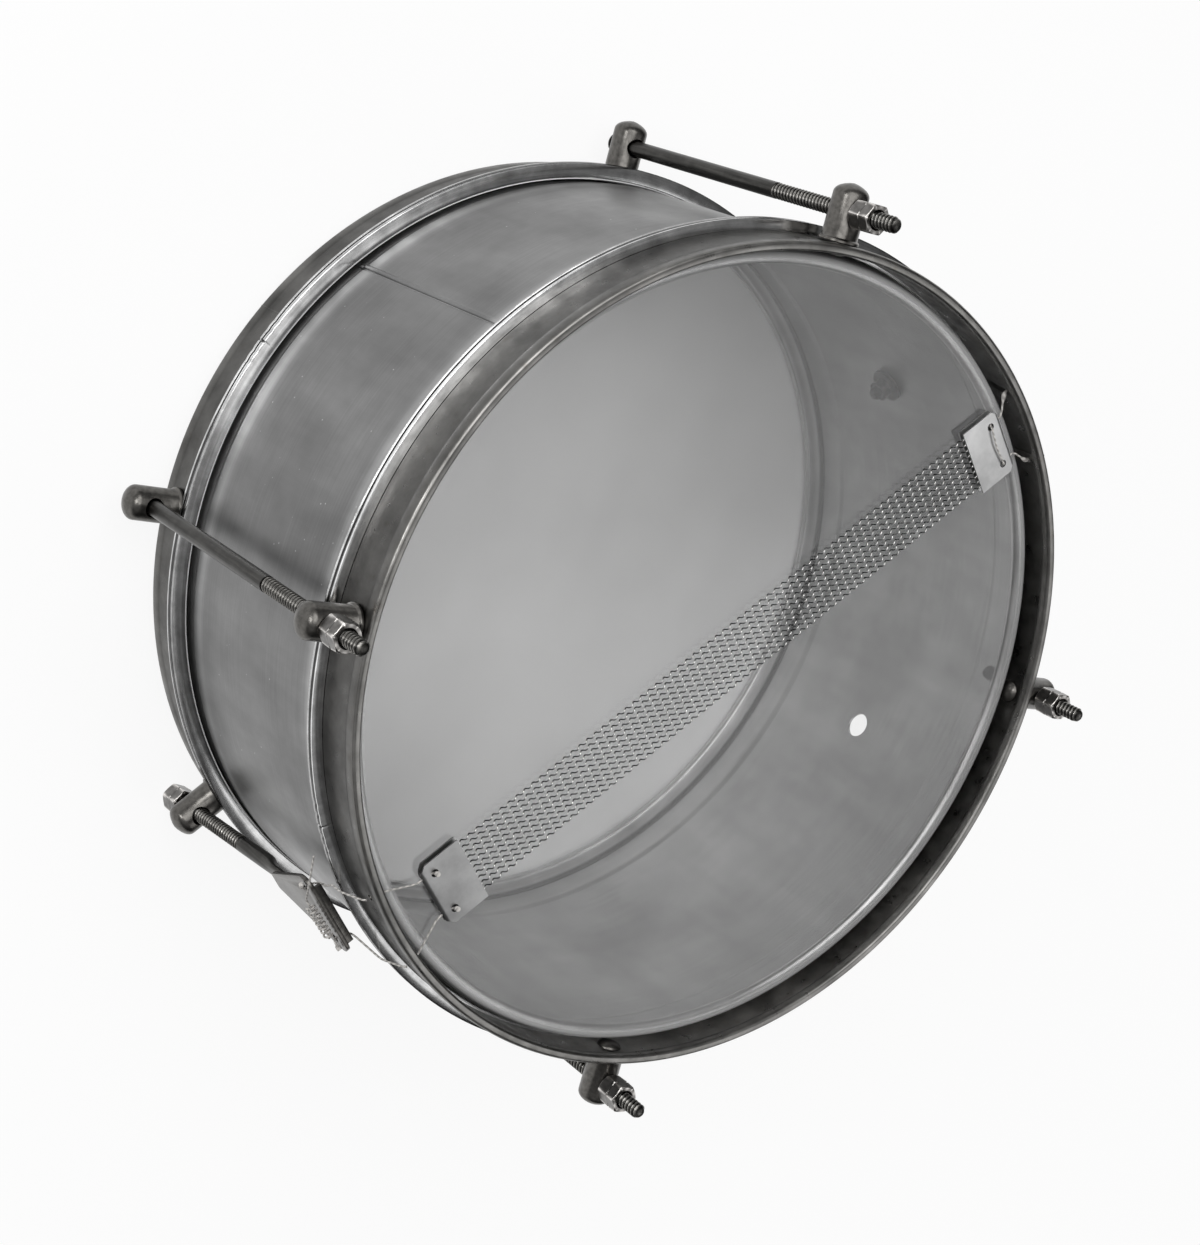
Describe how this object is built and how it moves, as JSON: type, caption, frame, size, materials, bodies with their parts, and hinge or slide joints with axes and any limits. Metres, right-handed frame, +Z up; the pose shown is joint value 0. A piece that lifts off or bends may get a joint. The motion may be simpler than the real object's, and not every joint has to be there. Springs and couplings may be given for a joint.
{
  "type": "samba snare drum",
  "caption": "Shallow metal snare drum with snares over the upper head, rod-tensioned counterhoops and a screw-adjusted snare strainer",
  "frame": {"origin": "centre of the bounding box's bottom face, on the drum's axis; the strainer's nut reaches down to z = 0", "axes": "+Z runs up the drum's axis to the snare side; +X and +Y each pass through a tension rod"},
  "size_m": [0.352, 0.352, 0.1791],
  "materials": {
    "satin_shell": "satin sheet metal with small dents and scratches",
    "stained_steel": "dark rolled steel, mottled and stained",
    "bright_aluminium": "bright drawn aluminium",
    "clear_film": "clear glossy drum film",
    "pale_film": "pale translucent drum film",
    "dark_steel": "dark oiled steel, lightly worn",
    "grey_rod": "grey steel rod",
    "nut_steel": "steel with bright chamfers",
    "tinned_plate": "tinned sheet",
    "snare_wire": "bright steel wire",
    "white_cord": "white twisted cord"
  },
  "bodies": {
    "drum": {"shell": "satin_shell", "shell_bolt": "dark_steel", "shell_bolt_washer": "nut_steel", "shell_bolt_nut": "nut_steel", "counterhoop_lower": "stained_steel", "flesh_hoop_upper": "bright_aluminium", "flesh_hoop_lower": "bright_aluminium", "head_upper": "clear_film", "head_lower": "pale_film", "lug_strainer": "dark_steel", "rivet_strainer": "dark_steel", "lug_lower_right": "dark_steel", "rivet_lower_right": "dark_steel", "lug_lower_top": "dark_steel", "rivet_lower_top": "dark_steel", "lug_lower_left": "dark_steel", "rivet_lower_left": "dark_steel", "lug_lower_bottom": "dark_steel", "rivet_lower_bottom": "dark_steel", "tension_rod_right": "grey_rod", "tension_rod_top": "grey_rod", "tension_rod_left": "grey_rod", "tension_rod_bottom": "grey_rod"},
    "upper_hoop": {"counterhoop_upper": "stained_steel", "lug_upper_right": "dark_steel", "rivet_upper_right": "dark_steel", "lug_upper_top": "dark_steel", "rivet_upper_top": "dark_steel", "lug_upper_left": "dark_steel", "rivet_upper_left": "dark_steel", "lug_upper_bottom": "dark_steel", "rivet_upper_bottom": "dark_steel", "snare_plate_far": "tinned_plate", "snare_plate_near": "tinned_plate", "snare_wire_01": "snare_wire", "snare_wire_02": "snare_wire", "snare_wire_03": "snare_wire", "snare_wire_04": "snare_wire", "snare_wire_05": "snare_wire", "snare_wire_06": "snare_wire", "snare_wire_07": "snare_wire", "snare_wire_08": "snare_wire", "snare_wire_09": "snare_wire", "snare_wire_10": "snare_wire", "snare_cord_far": "white_cord", "snare_cord_a": "white_cord", "snare_cord_b": "white_cord"},
    "strainer": {"strainer_rod": "grey_rod", "strainer_yoke": "dark_steel", "strainer_cord_a": "white_cord", "strainer_cord_b": "white_cord", "strainer_cord_winding": "white_cord"},
    "strainer_nut": {"strainer_nut": "nut_steel"},
    "tension_nut_right": {"tension_nut_right": "nut_steel"},
    "tension_nut_top": {"tension_nut_top": "nut_steel"},
    "tension_nut_left": {"tension_nut_left": "nut_steel"},
    "tension_nut_bottom": {"tension_nut_bottom": "nut_steel"}
  },
  "joints": [
    {"name": "upper_hoop_lift", "type": "slide", "parent": "drum", "child": "upper_hoop", "axis": [0, 0, 1], "range_m": [0, 0.008]},
    {"name": "strainer_slide", "type": "slide", "parent": "drum", "child": "strainer", "axis": [0.0111, 0.0629, 0.998], "range_m": [0, 0.006]},
    {"name": "strainer_nut_turn", "type": "hinge", "parent": "drum", "child": "strainer_nut", "pos_m": [-0.11738, -0.11738, 0.0175], "axis": [0.0111, 0.0629, 0.998], "range_deg": [-1711, 0]},
    {"name": "tension_nut_right_turn", "type": "hinge", "parent": "upper_hoop", "child": "tension_nut_right", "pos_m": [0.166, 0, 0.1591], "axis": [0, 0, 1], "range_deg": [0, 2278]},
    {"name": "tension_nut_top_turn", "type": "hinge", "parent": "upper_hoop", "child": "tension_nut_top", "pos_m": [0, 0.166, 0.1591], "axis": [0, 0, 1], "range_deg": [0, 2278]},
    {"name": "tension_nut_left_turn", "type": "hinge", "parent": "upper_hoop", "child": "tension_nut_left", "pos_m": [-0.166, 0, 0.1591], "axis": [0, 0, 1], "range_deg": [0, 2278]},
    {"name": "tension_nut_bottom_turn", "type": "hinge", "parent": "upper_hoop", "child": "tension_nut_bottom", "pos_m": [0, -0.166, 0.1591], "axis": [0, 0, 1], "range_deg": [0, 2278]}
  ],
  "couplings": [
    {"joint": "strainer_nut_turn", "follows": "strainer_slide", "rad_per_m": -4947.4},
    {"joint": "tension_nut_right_turn", "follows": "upper_hoop_lift", "rad_per_m": 4947.4},
    {"joint": "tension_nut_top_turn", "follows": "upper_hoop_lift", "rad_per_m": 4947.4},
    {"joint": "tension_nut_left_turn", "follows": "upper_hoop_lift", "rad_per_m": 4947.4},
    {"joint": "tension_nut_bottom_turn", "follows": "upper_hoop_lift", "rad_per_m": 4947.4}
  ]
}
